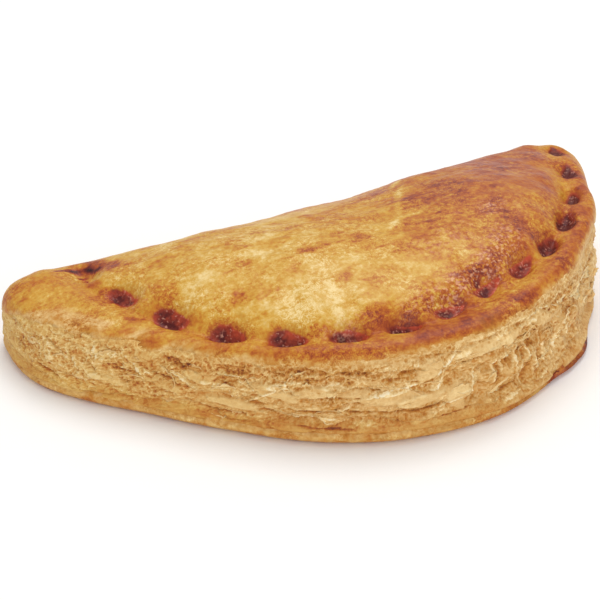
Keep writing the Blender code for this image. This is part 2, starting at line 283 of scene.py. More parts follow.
# the ledges, cracks, pockets and bottom lip of the solid
def layerRelief(angle, x, y, z, wallHeight):
    share, turn = z / wallHeight, np.degrees(angle)
    warp = 0.9 * (wander(x, y, 0.5 * z, 24.0, 4) + 0.5 * wander(x, y, z, 9.0, 5))
    level = z / ledges["height"] + warp
    patch = 0.35 + 1.3 * np.abs(wander(x, y, z, 15.0, 6))
    relief = -ledges["depth"] * patch * (level - np.floor(level)) ** 1.6
    wave = 0.04 * wander(x, y, 0.0, 12.0, 7)
    for start, end, depth, up in ledges["cracks"]:
        crack = depth * plateau(turn, start, end, 24.0)
        relief = relief - crack * bump(z - wallHeight * (up + wave), ledges["crackHeight"])
    for index in range(ledges["pockets"]):
        aside = angleBetween(angle, math.radians(ledges["pocketStart"] + ledges["pocketStep"] * index))
        rise = share - 0.36 - 0.06 * math.sin(2.3 * index)
        relief = relief - ledges["pocketDepth"] * bump(aside, 0.045) * bump(rise, 0.13)
    relief = relief * plateau(share, 0.22, 0.80, 0.14)
    curl = ledges["curl"] * plateau(turn, -33.0, -8.0, 11.0)
    lipHeight = ledges["lipHeight"]
    lip = ledges["lip"] * bump(z - lipHeight, 1.9) + curl * (1.0 - ease(0.3, 1.6, np.abs(z - lipHeight)))
    return relief, lip


# colours as seen, turned into the linear values that materials take
def colour(red, green, blue):
    values = np.array((red, green, blue)) / 255.0
    return np.where(values <= 0.04045, values / 12.92, ((values + 0.055) / 1.055) ** 2.4)


# a mesh from one or more nets of points, rows by columns; columns close up when round
def netMesh(name, points, closeColumns, poles=()):
    rows, columns = points.shape[-3:-1]
    verts = points.reshape(-1, 3)
    ahead = (np.arange(columns) + 1) % columns if closeColumns else np.arange(1, columns)
    here = np.arange(columns if closeColumns else columns - 1)
    lower = (np.arange(rows - 1) * columns)[:, None]
    quads = np.stack([lower + ahead, lower + here, lower + columns + here, lower + columns + ahead], -1)
    starts = np.arange(0, len(verts), rows * columns)
    quads = (quads.reshape(1, -1, 4) + starts[:, None, None]).reshape(-1, 4)
    tris = []
    for pole, row, flip in poles:
        first, second = row * columns + here, row * columns + ahead
        if flip:
            first, second = second, first
        tris.append(np.stack([first, second, np.full(len(first), len(verts))], -1))
        verts = np.vstack([verts, pole])
    mesh = bpy.data.meshes.new(name)
    loops = np.concatenate([quads.ravel()] + [t.ravel() for t in tris]).astype(np.int32)
    sizes = np.concatenate([np.full(len(quads), 4)] + [np.full(len(t), 3) for t in tris])
    mesh.vertices.add(len(verts))
    mesh.vertices.foreach_set("co", verts.ravel())
    mesh.loops.add(len(loops))
    mesh.loops.foreach_set("vertex_index", loops)
    mesh.polygons.add(len(sizes))
    mesh.polygons.foreach_set("loop_start", np.concatenate([[0], np.cumsum(sizes)[:-1]]).astype(np.int32))
    mesh.update(calc_edges=True)
    mesh.validate()
    mesh.polygons.foreach_set("use_smooth", np.ones(len(mesh.polygons), bool))
    return mesh


# numbers kept at the points of a mesh, for its material to read
def setFields(mesh, fields):
    for name, values in fields.items():
        item = mesh.attributes.new(name=name, type="FLOAT", domain="POINT")
        item.data.foreach_set("value", np.asarray(values, np.float32).ravel())


def addPiece(name, mesh, material):
    piece = bpy.data.objects.new(name, mesh)
    bpy.context.scene.collection.objects.link(piece)
    piece.data.materials.append(material)
    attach(piece, "root")
    print(name, len(mesh.polygons), "faces")
    return piece


# glazed crust: the whole skin, drawn in where the open layers lie over it
crust = {
    "columns": 640, "cutShare": 0.80, "baseRings": 5, "lowerRings": 14, "upperRings": 26, "topRings": 76,
    "tuck": 2.6, "waves": 0.22, "burntWaves": 0.15, "beadWaves": 0.30, "sideWaves": 0.25, "sheen": 0.30,
}
# how dark the crust is in each part, in tones of the row of colours below: 0 is golden, 1 dark brown
browning = {
    "lid": 0.13, "clouds": 0.18, "flecks": 0.20, "right": 0.44, "back": 0.10, "front": -0.08,
    "rimLeft": 0.31, "rim": 0.46, "rimRight": -0.03, "bead": 0.20, "rimClouds": 0.22, "rimFlecks": 0.08,
    "rimFoot": 0.30, "side": 0.34, "sideClouds": 0.14, "sideFlecks": 0.12, "sideFootShade": 0.16, "fold": 0.25,
    "base": 0.66, "baseClouds": 0.14, "halo": 0.30, "lumps": 0.09,
}
browned = [
    (-0.4, colour(236, 208, 146)), (0.0, colour(213, 170, 80)), (0.2, colour(204, 151, 55)),
    (0.4, colour(194, 128, 41)), (0.6, colour(182, 102, 34)), (0.8, colour(163, 76, 32)),
    (1.0, colour(134, 54, 34)), (1.2, colour(104, 38, 30)), (1.6, colour(58, 22, 28)),
]
# darker and paler patches of the lid: x, y, half length, half width, turn, how much
patches = [
    (-14.7, -41.6, 5.0, 1.7, 4, 0.34), (-32.9, -38.7, 3.0, 1.2, 0, 0.24),
    (-36.9, -50.0, 2.4, 2.2, 20, 0.36), (-31.3, -47.6, 1.6, 1.0, 0, 0.22),
    (-41.7, -33.0, 4.0, 1.2, 5, 0.20), (-28.8, -30.6, 3.2, 1.0, 0, 0.20),
    (-9.2, -19.9, 2.4, 1.0, 0, 0.30), (-14.5, -20.6, 4.0, 2.0, 0, 0.16),
    (-6.7, -36.8, 2.2, 1.2, 10, 0.26), (-2.6, -39.7, 2.6, 1.4, 10, 0.28),
    (-6.4, -60.7, 3.0, 4.0, 0, 0.20), (-9.4, -67.9, 3.4, 1.8, 10, 0.42),
    # pale patches at (-17.2, -62.8), (-30.3, -34.9), (-26.3, -37.3) and (-44.9, -39.9) are painted sheen on
    # the lid
    (-17.2, -62.8, 1.8, 7.5, -8, -0.30), (-30.3, -34.9, 3.0, 2.0, 0, -0.18),
    (-26.3, -37.3, 3.0, 2.0, 0, -0.18), (-44.9, -39.9, 5.0, 4.0, 0, -0.16),
    (-60.8, -11.5, 8.0, 3.0, -58, 0.72), (-51.7, -35.2, 2.2, 5.5, 25, 0.30),
    (-60.6, -38.7, 3.0, 1.6, -30, 0.42), (-60.1, -48.8, 4.5, 1.6, -35, 0.40),
    # dark lines at (-68.5, -7.3) and (-63.6, -9.6) are painted shade in the slit at the left end of the
    # fold
    (17.2, -25.4, 4.5, 1.3, 6, 0.34), (-68.5, -7.3, 4.2, 0.7, -6, 1.1),
    (-63.6, -9.6, 3.4, 0.7, -50, 1.0), (20.4, -11.2, 3.4, 0.9, 50, -0.60),
    (18.0, -19.0, 4.8, 0.9, 62, -0.50), (13.4, -29.0, 4.4, 0.9, 74, -0.52),
    (8.2, -37.8, 4.0, 0.9, 42, -0.56), (13.9, -35.0, 3.0, 0.8, 3, -0.46),
    (23.0, -34.5, 11, 4.2, -18, -0.12), (2.6, -30.8, 8.5, 2.2, -28, 0.10),
    (-65.2, -19.0, 4.0, 1.3, -75, 0.40), (-82.7, -15.6, 0.9, 0.6, 0, 0.55),
    (-72.3, -35.5, 4.8, 1.5, -61, 0.34), (30.0, -24.0, 16.0, 7.0, 18, 0.16),
    (38.1, -47.5, 3.5, 4.5, 20, 0.34), (24.8, -59.3, 6.0, 3.0, 35, 0.30),
    (12.7, -65.0, 8.0, 3.0, 28, 0.26), (0.5, -68.2, 7.0, 1.8, 15, 0.36),
    (24.0, -37.0, 14.0, 9.0, 20, 0.18), (-64.3, -27.5, 2.5, 3.0, -50, 0.10),
    (-30.0, -62.0, 12.0, 6.0, 0, -0.12), (-5.0, -52.0, 6.0, 4.0, 0, -0.10),
    (4.0, -30.0, 14.0, 12.0, 20, 0.07), (7.4, -44.0, 9.0, 7.0, 20, 0.12),
    (48.0, -12.0, 12.0, 8.0, 30, 0.14), (-20.0, -10.0, 16.0, 3.0, 3, 0.12),
    (14.0, -14.0, 10.0, 3.0, 5, 0.16),
]
# dark streak low on the bead: directions from the hub, in degrees
streak = {"start": -92, "end": -66, "fade": 6.0, "share": 1.02, "amount": 0.22}
# dark burnt spot at the foot of the right end: directions in degrees, height in mm
scorch = {"start": -42, "end": -20, "fade": 5.0, "height": 1.3, "amount": 0.55}
# how far up the wall the open layers reach, and how high the smooth band at its bottom is, in mm
glazeEdge = {
    "turn": (-215, -206, -200, -193, -186, -176, -161, -140, -119, -100, -67, -40, -10, 2, 12, 30),
    "share": (0.25, 0.42, 0.62, 0.86, 0.97, 0.97, 0.94, 0.93, 0.91, 0.94, 0.96, 0.93, 0.92, 0.88, 0.72,
              0.55),
}
bottomBand = {
    "turn": (-215, -190, -160, -110, -80, -60, -44, -40, -24, -18),
    "height": (3.0, 3.4, 4.0, 4.2, 3.6, 2.6, 2.3, 3.0, 3.0, 2.0),
}


def glazeShare(angle):
    turn, run = np.degrees(angle), 70.0 * angle
    ragged = 0.04 * wander(run, 0.0 * run, 0.0, 6.0, 70) + 0.03 * wander(run, 0.0 * run, 0.0, 2.4, 71)
    return ragged * ease(-110.0, -170.0, turn) + np.interp(turn, glazeEdge["turn"], glazeEdge["share"])


def bandTop(angle):
    return np.interp(np.degrees(angle), bottomBand["turn"], bottomBand["height"])


# places out of a table, added up with soft, wandering borders
def patchTone(x, y, table, warp):
    tone = 0.0 * x
    for px, py, halfLong, halfWide, turn, amount in table:
        turned = math.radians(turn)
        along, across = alongAcross(x, y, px, py, math.cos(turned), math.sin(turned))
        reach = np.hypot(along / halfLong, across / halfWide) + warp
        tone = tone + amount * (1.0 - ease(0.3, 1.5, reach))
    return tone


# 1 on the rim outside the crimps, 0 on the lid
def rimShare(x, y):
    return 1.0 - ease(9.5, 14.0, insideCutEdge(x, y) - 2.0 * ease(-30.0, -60.0, x))


# where the glaze lies in fine wrinkles
def wrinkled(x, y):
    right = ease(20.0, 55.0, x + 0.5 * (y + 30.0))
    return np.clip(0.25 + 0.75 * right, 0.0, 1.0) * (1.0 - 0.8 * rimShare(x, y))


def lidBrowning(x, y, turn, share):
    flecks = rough(x, 2.0 * y, 0.0, 5.0, 21) * (1.0 - 0.35 * wrinkled(x, y))
    tone = browning["lid"] + browning["clouds"] * rough(x, y, 0.0, 13.0, 20) + browning["flecks"] * flecks
    tone = tone + browning["right"] * ease(-14.0, 48.0, x + 0.25 * (y + 40.0))
    tone = tone + browning["back"] * ease(-16.0, -4.0, y) * ease(-70.0, -20.0, x)
    tone = tone + browning["front"] * bump(np.hypot(x + 20.0, (y + 52.0) * 1.3), 24.0)
    rim = blend(browning["rimLeft"], browning["rim"], ease(-66.0, -34.0, x))
    rim = rim + browning["rimRight"] * ease(40.0, 75.0, x)
    rim = rim + browning["bead"] * bump(insideCutEdge(x, y) - 2.4, 2.6) * ease(-60.0, -20.0, x)
    rim = rim + browning["rimClouds"] * rough(x, y, 0.0, 7.0, 22)
    rim = rim + browning["rimFlecks"] * wander(x, y, 0.0, 2.2, 39)
    rim = blend(rim, browning["rimFoot"], 0.7 * ease(0.98, 0.91, share))
    low = plateau(turn, streak["start"], streak["end"], streak["fade"])
    low = low * bump(share - streak["share"], 0.05)
    tone = blend(tone, rim, rimShare(x, y)) + streak["amount"] * low
    return tone + patchTone(x, y, patches, 0.6 * rough(x, y, 0.0, 3.0, 23))


def scorched(turn, z, high):
    return plateau(turn, scorch["start"], scorch["end"], scorch["fade"]) * bump(z - scorch["height"], high)


# the band round the bottom and the outside of the fold
def sideBrowning(x, y, z, share, fold, turn):
    tone = browning["side"] + browning["sideClouds"] * rough(x, y, z, 9.0, 26)
    tone = tone + browning["sideFlecks"] * wander(x, y, z, 2.6, 27)
    # darker at the foot, where the band turns under: painted shade
    tone = tone + browning["sideFootShade"] * ease(1.6, 0.2, z) + browning["fold"] * fold * ease(0.2, 0.9, share)
    return tone + scorch["amount"] * scorched(turn, z, 1.5)


# burnt middles of the crimps, left to right: their length and width as shares of the dent's
burnt = {
    "length": (0.6, 0.88, 0.98, 0.92, 1.04, 0.96, 0.92, 0.84, 0.94, 1.04, 0.96, 1.04, 0.84, 1.1, 1.1),
    "width": (0.12, 0.70, 0.74, 0.96, 0.94, 0.80, 0.56, 0.44, 0.44, 0.64, 0.74, 0.82, 0.66, 0.74, 0.75),
    "edge": 0.50, "soft": 0.06, "taper": 0.30, "smoke": 0.28, "rightSmoke": 1.7, "paintedGlints": 0.5,
    # colours of the burnt crimps, the last one for the painted highlights on them
    "light": colour(184, 72, 44), "dark": colour(86, 24, 22), "paintedGlint": colour(236, 170, 146),
}


# how far a point is inside a crimp's burnt core and inside its browned halo, and how far to its dark end
def crimpTone(x, y):
    core, halo, smoky, nearest = 0.0 * x, 0.0 * x, 0.0 * x, 0.0 * x + farAway
    warp = 0.09 * rough(x, y, 0.0, 4.0, 24, None, 2)
    for index, (cx, cy, tx, ty, halfLength, halfWidth) in enumerate(crimpPlaces):
        along, across = alongAcross(x, y, cx, cy, tx, ty)
        drawn = along / (burnt["length"][index] * halfLength)
        tapered = 1.0 - burnt["taper"] * np.clip(drawn, -1.0, 1.2)
        reach = np.hypot(drawn, (across + 0.3) / (burnt["width"][index] * halfWidth * tapered))
        core = np.maximum(core, np.clip(1.5 - reach - warp, 0.0, 1.0))
        halo = np.maximum(halo, 1.0 - ease(0.85, 1.4, reach + warp))
        smoky = np.where(reach < nearest, np.clip(-drawn, -1.0, 1.0), smoky)
        nearest = np.minimum(reach, nearest)
    return core, halo, smoky


# the rings of the crust from the base to the top: kind, reach, height and height without the crimps
def crustRings(part):
    rows = [("base", ring / crust["baseRings"]) for ring in range(1, crust["baseRings"])]
    rows += [("lower", ring / crust["lowerRings"]) for ring in range(crust["lowerRings"], 0, -1)]
    rows += [("upper", ring / crust["upperRings"]) for ring in range(crust["upperRings"] + 1)]
    rows += [("top", ring / crust["topRings"]) for ring in range(1, crust["topRings"])]
    foot = part["radius"] - part["undercut"] + part["flare"] - soleInward(part["angle"], 0.0)
    reach, z, undented = [], [], []
    for kind, share in rows:
        inward, rise = nose(share, part["squareness"])
        dents = 0.0
        if kind == "base":
            reach.append(foot * share)
            level = 0.0 * foot
        elif kind == "lower":
            reach.append(part["radius"] - part["undercut"] * inward)
            level = part["middle"] * (1.0 - rise)
        else:
            if kind == "upper":
                reach.append(part["radius"] - part["noseRun"] * inward)
            else:
                reach.append((part["radius"] - part["noseRun"]) * (1.0 - share * (0.6 + 0.4 * share)))
                rise = 1.0
            x, y = atReach(part["angle"], reach[-1])
            level = blend(part["middle"], crustHeight(x, y), rise)
            dents = rise * crimpRelief(x, y)
        undented.append(level)
        z.append(level + dents)
    kinds = np.array([kind for kind, share in rows])[:, None]
    return kinds, np.array(reach), np.array(z), np.array(undented)


def buildCrust():
    cut = round(crust["columns"] * crust["cutShare"])
    rest = crust["columns"] - cut
    span = 2.0 * math.pi - (cornerLeft - cornerRight)
    front = cornerRight - span * np.arange(cut) / cut
    back = cornerLeft - (cornerLeft - cornerRight) * np.arange(rest) / rest
    part = sectionsAt(np.concatenate([front, back]))
    angle, fold, turn = part["angle"], part["fold"], np.degrees(part["angle"])
    kinds, reach, z, undented = crustRings(part)
    side = np.isin(kinds, ("lower", "upper"))
    top = np.isin(kinds, ("upper", "top"))
    share = undented / part["wallTop"]
    # how far the open dough shows round the upper edge of the wall
    wider = 0.5 * np.maximum(part["noseRun"] - form["cutNose"], 0.0) * (1.0 - fold)
    wider = wider + 2.5 * plateau(turn, -191.0, -177.0, 4.0)
    wallSide = 1.0 - ease(2.5, 5.0, part["radius"] - reach - wider)
    # drawn in behind the layers, between the bottom band and the glazed edge
    cutSide = ease(0.2, 0.6, 1.0 - fold)
    ragged = wander(part["x"], part["y"], z, 5.0, 30) + 0.6 * wander(part["x"], part["y"], z, 2.2, 31)
    band, glazed = bandTop(angle), glazeShare(angle)
    tuck = ease(band - 0.8, band + 0.2, z + 0.9 * ragged * np.minimum(band / 3.0, 1.0))
    tuck = tuck * (1.0 - ease(glazed - 0.09, glazed - 0.03, share + 0.03 * ragged))
    lean = part["flare"] * np.maximum(1.0 - share, 0.0)
    lip = (1.0 - fold) * layerRelief(angle, part["x"], part["y"], z, part["wallTop"])[1]
    reach = reach + side * (lean + lip - crust["tuck"] * tuck * cutSide - soleInward(angle, z))
    x, y = atReach(angle, reach)
    # soft waves of the glaze, rougher in the burnt crimps and where it stands in lumps
    over = top * ease(0.55, 0.8, share)
    core, halo, smoky = crimpTone(x, y)
    lumps = patchTone(x, y, glazeLumps, 0.4 * rough(x, y, 0.0, 4.0, 33))
    waves = crust["waves"] * (rough(x, y, z, 6.0, 34) + 0.5 * rough(x, y, z, 2.5, 35, None, 2))
    z = z + over * (waves + crust["burntWaves"] * core * rough(x, y, 0.0, 1.8, 36, None, 2))
    z = z + over * crust["beadWaves"] * np.clip(lumps, 0.0, 1.0) * rough(x, y, 0.0, 1.8, 37, None, 2)
    sideWaves = crust["sideWaves"] * rough(x, y, z, 5.0, 38) * ease(0.5, 2.0, z)
    reach = reach + side * (1.0 - over) * sideWaves
    x, y = atReach(angle, reach)
    tone = lidBrowning(x, y, turn, share)
    tone = tone + over * (browning["halo"] * halo + browning["lumps"] * np.clip(lumps, 0.0, 1.0))
    tone = blend(sideBrowning(x, y, z, share, fold, turn), tone, ease(0.66, 0.84, share) * top)
    baseTone = browning["base"] + browning["baseClouds"] * rough(x, y, 0.0, 8.0, 28)
    # open dough up to the ragged edge of the glaze
    frayed = 0.05 * rough(x, y, z, 7.0, 60) + 0.03 * rough(x, y, z, 2.5, 61, None, 2)
    openTop = glazed + 0.08 * plateau(turn, -191.0, -182.0, 3.0)
    bare = cutSide * side * np.where(top, wallSide, 1.0)
    bare = bare * (1.0 - ease(openTop - 0.03, openTop + 0.05, share + frayed))
    bare = bare * blend(0.45, 1.0, ease(1.0, 5.0, z)) * (1.0 - scorched(turn, z, 1.6))
    lid = over * (1.0 - rimShare(x, y))
    shine = lid * (0.25 + 0.75 * ease(5.0, 45.0, x)) * (1.0 - 0.7 * core)
    fields = {
        "tone": blend(tone, baseTone, kinds == "base"),
        "shine": blend(0.05, crust["sheen"], shine),
        "core": core * over,
        "burn": 1.0 - 0.06 * ease(38.0, 56.0, x),
        "lump": np.clip(lumps * over, 0.0, 1.0),
        "wrinkle": over * wrinkled(x, y),
        "lively": blend(0.75, 1.0, lid),
        "bare": bare,
        "smoky": smoky + burnt["rightSmoke"] * ease(34.0, 56.0, x),
    }
    points = np.stack([x, y, z], -1) * mm
    poleTop = (hubX * mm, hubY * mm, z[-1].mean() * mm)
    poleBase = (hubX * mm, hubY * mm, 0.0)
    mesh = netMesh("crust", points, True, [(poleBase, 0, False), (poleTop, len(kinds) - 1, True)])
    setFields(mesh, {name: np.concatenate([values.ravel(), [values[0].mean(), values[-1].mean()]])
                     for name, values in fields.items()})
    return mesh


# places where the glaze stands in small shining lumps
glazeLumps = [
    (24.8, -59.3, 7.0, 4.0, 35, 1.0), (12.7, -65.0, 9.0, 4.0, 28, 1.0), (2.4, -67.6, 6.0, 2.5, 15, 0.7),
    (33.0, -52.0, 6.0, 5.0, 40, 0.7), (34.0, -40.0, 5.0, 3.0, 20, 0.6), (-17.2, -68.0, 6.0, 3.0, 0, 0.5),
    (-58.0, -33.0, 4.0, 3.0, -30, 0.5), (14.0, -22.0, 5.0, 2.0, 0, 0.4),
    (16.0, -50.0, 10.0, 4.0, 20, 0.4),
]

# open layers: a band of torn, porous dough along the cut edge
layers = {
    "columns": 1230, "rows": 78, "from": 30, "to": -212, "overlap": 1.2, "thickness": 3.6, "underTop": 26,
    "plates": 0.9, "chips": 0.5, "sheets": 0.35, "sheetHeight": 1.7, "grain": 0.10, "threads": 0.25,
    "marks": 0.8, "tone": 0.24, "clouds": 0.24, "flecks": 0.12, "plateLitLip": 0.24, "plateShadedFoot": 0.26,
    "chipLitLip": 0.14, "chipShadedFoot": 0.12, "thread": 0.24, "slitShade": 0.28, "sponge": 0.15, "topTone": 0.30,
    # darker or paler further along: directions in degrees between which it changes, and by how much; the
    # paler left end is painted light, lifting the left wall out of its shade
    "changes": ((-60, -40, -0.02), (-165, -185, -0.06), (-146, -166, -0.10), (-168, -180, -0.04)),
}
# colours of the torn dough, from the palest tone to the darkest
torn = [
    (-0.4, colour(252, 236, 198)), (-0.1, colour(241, 210, 150)), (0.15, colour(222, 182, 119)),
    (0.35, colour(209, 163, 97)), (0.55, colour(196, 136, 56)), (0.8, colour(172, 104, 36)),
    (1.2, colour(112, 62, 24)),
]
# places of the open layers, kind by kind: tone, how far they stand out, and for each place its direction
# in degrees, share of the height, half length and half height in mm and tilt, rising to the right
marks = {
    "plate": (-0.16, 0.7, (
        (-70.5, 0.80, 8.5, 1.9, 0), (-60.0, 0.80, 4.0, 1.6, 5), (-158.0, 0.68, 4.0, 1.8, -5),
        (-139.0, 0.58, 6.0, 1.4, -12), (-127.0, 0.60, 5.0, 1.5, 8), (-91.0, 0.72, 3.4, 2.6, 40),
        (-81.0, 0.40, 3.5, 3.2, 0), (-104.0, 0.50, 9.0, 1.6, 2), (-116.0, 0.58, 5.0, 1.2, 0),
        (-95.0, 0.44, 6.0, 1.3, 4), (-44.0, 0.72, 5.0, 2.0, -25), (-176.0, 0.42, 5.0, 1.0, -4),
        (-148.0, 0.40, 7.0, 1.1, -5), (-35.0, 0.62, 4.0, 2.4, -30), (-165.0, 0.50, 6.0, 1.2, -8),
    )),
    "white": (-0.34, 0.5, (
        (-79.7, 0.80, 2.4, 0.8, 8), (-64.0, 0.86, 3.0, 0.6, 10), (-102.0, 0.56, 5.0, 0.7, 6),
        (-136.0, 0.66, 4.0, 0.7, 10), (-88.0, 0.56, 3.0, 1.0, 30), (-154.0, 0.60, 3.0, 0.6, -8),
        (-170.0, 0.64, 3.0, 0.5, -10), (-92.0, 0.24, 4.0, 0.6, 15), (-112.0, 0.24, 3.0, 0.6, 0),
        (-121.0, 0.66, 3.0, 0.6, 5), (-187.0, 0.72, 2.5, 0.8, -30), (-52.0, 0.80, 3.0, 0.7, 0),
    )),
    "strand": (-0.42, 0.45, (
        (-55.2, 0.30, 2.2, 0.45, 75), (-50.4, 0.33, 2.4, 0.5, 78), (-44.0, 0.38, 2.6, 0.5, 72),
        (-41.0, 0.30, 2.0, 0.4, 60), (-36.0, 0.36, 2.6, 0.5, 68), (-30.5, 0.44, 2.4, 0.45, 62),
        (-47.0, 0.18, 3.0, 0.35, 8), (-60.0, 0.16, 4.0, 0.3, 6), (-85.8, 0.74, 3.2, 0.30, 46),
        (-80.2, 0.885, 2.8, 0.28, 40), (-83.5, 0.80, 3.8, 0.24, 52), (-87.0, 0.60, 2.6, 0.26, 60),
        (-70.0, 0.905, 8.0, 0.36, 0), (-50.0, 0.86, 7.0, 0.35, -6), (-67.2, 0.52, 2.8, 0.45, 80),
        (-62.9, 0.56, 3.0, 0.5, 78), (-57.6, 0.54, 3.0, 0.45, 75), (-52.0, 0.55, 2.6, 0.4, 70),
        (-56.5, 0.40, 2.0, 0.45, 60), (-107.0, 0.56, 3.6, 0.26, 14), (-98.0, 0.60, 4.0, 0.28, 8),
        (-118.0, 0.41, 1.8, 0.3, 20), (-142.0, 0.52, 4.5, 0.28, 28), (-146.0, 0.62, 3.2, 0.26, -25),
        (-133.0, 0.70, 3.4, 0.26, 12), (-86.0, 0.32, 5.0, 0.3, 12), (-161.0, 0.60, 4.0, 0.26, -20),
        (-172.0, 0.70, 3.0, 0.25, -35), (-182.0, 0.62, 3.4, 0.26, -40), (-188.0, 0.66, 3.0, 0.26, -55),
        (-179.0, 0.78, 2.6, 0.24, -50), (-76.0, 0.50, 2.8, 0.3, 70), (-46.0, 0.52, 3.0, 0.3, 55),
        (-38.0, 0.80, 4.0, 0.3, 15), (-125.0, 0.30, 4.0, 0.26, -6), (-150.0, 0.72, 4.0, 0.24, -4),
    )),
    # hollows: darker amber in the pockets, partly painted shade
    "hollow": (0.28, -0.7, (
        (-57.5, 0.30, 2.0, 0.6, 70), (-53.0, 0.34, 2.2, 0.7, 75), (-46.5, 0.36, 2.2, 0.7, 75),
        (-38.5, 0.34, 2.0, 0.6, 65), (-33.0, 0.40, 2.2, 0.7, 60), (-28.0, 0.52, 1.8, 0.6, 60),
        (-184.1, 0.95, 3.4, 1.3, -22), (-70.9, 0.60, 1.6, 0.7, 25), (-64.8, 0.48, 2.4, 0.75, 80),
        (-60.0, 0.54, 2.6, 0.7, 75), (-54.4, 0.56, 2.2, 0.6, 70), (-49.0, 0.60, 1.8, 0.6, 65),
        (-163.0, 0.80, 6.0, 0.9, -4), (-151.0, 0.80, 5.0, 0.9, -2), (-131.0, 0.83, 7.0, 0.8, 0),
        (-116.0, 0.78, 5.0, 0.7, 0), (-144.0, 0.46, 3.0, 0.6, -10), (-192.0, 0.50, 3.0, 0.9, -60),
        (-97.0, 0.74, 3.0, 0.6, 8), (-103.0, 0.68, 2.0, 0.5, 0), (-74.0, 0.36, 2.6, 0.8, 70),
        (-41.0, 0.45, 2.4, 0.7, 50),
    )),
    # cracks: dark lines of painted shade in the splits
    "crack": (0.50, -0.9, (
        (-71.0, 0.728, 8.0, 0.30, 0), (-52.0, 0.70, 7.5, 0.36, -3), (-125.5, 0.392, 5.5, 0.32, 0),
        (-111.0, 0.37, 5.0, 0.30, -7), (-103.0, 0.325, 4.0, 0.34, 0), (-92.0, 0.318, 5.0, 0.30, 3),
        (-173.0, 0.60, 3.4, 0.30, -4), (-179.0, 0.56, 2.4, 0.3, -30), (-166.0, 0.62, 4.0, 0.28, -5),
        (-150.0, 0.30, 5.0, 0.26, -3), (-186.0, 0.34, 4.0, 0.28, -8), (-139.0, 0.36, 3.0, 0.3, -4),
        (-84.0, 0.22, 5.0, 0.26, 4), (-122.0, 0.20, 8.0, 0.24, -2), (-60.0, 0.26, 4.0, 0.25, 10),
        (-44.0, 0.62, 2.6, 0.3, 30),
    )),
    "bulge": (-0.05, 1.0, (
        (-3.0, 0.38, 9.0, 5.0, 0), (-7.9, 0.20, 1.8, 0.8, 15), (-16.0, 0.45, 4.0, 2.0, 10),
    )),
}
spongePlaces = [
    (-186, 9, 0.62, 0.26), (-160, 16, 0.80, 0.16), (-128, 22, 0.76, 0.16), (-85, 10, 0.88, 0.10),
    (-62, 9, 0.90, 0.08), (-110, 16, 0.58, 0.10), (-170, 10, 0.55, 0.2), (-40, 14, 0.72, 0.25),
]


# stairs cut from smooth noise: height, the pale lip of every stair and the shaded foot under it, for a
# painted highlight on the lip and painted shade at the foot
def terraces(value, steps):
    level = value * steps
    stair = np.floor(level)
    part = level - stair
    height = (stair + ease(0.76, 1.0, part)) / steps
    return height, 1.0 - ease(0.0, 0.20, part), plateau(part, 0.66, 0.80, 0.14)


# a value at a direction, read from a row of directions that falls
def atTurn(turn, angle, values):
    return np.interp(-math.radians(turn), -angle, values)


# length along the foot of the wall from the first column of a net
def runAlong(x, y):
    return np.cumsum(np.hypot(np.gradient(x), np.gradient(y)))


# tone and relief of the marks, and how far a point is on a plate
def markedShares(part, z, warp):
    along = runAlong(part["x"], part["y"])
    tones, stands, plateShare = 0.0 * z, 0.0 * z, 0.0 * z
    for kind, (tone, stand, places) in marks.items():
        for turn, level, halfLong, halfHigh, tilt in places:
            place = atTurn(turn, part["angle"], along)
            height = level * atTurn(turn, part["angle"], part["wallTop"])
            tilted = math.radians(tilt)
            a, b = alongAcross(-along, z, -place, height, math.cos(tilted), math.sin(tilted))
            hold = 1.0 - ease(0.80, 1.10, np.hypot(a / halfLong, b / halfHigh) + warp)
            tones = tones + tone * hold
            stands = stands + stand * hold
            if kind == "plate":
                plateShare = np.maximum(plateShare, hold)
    return tones, stands, plateShare


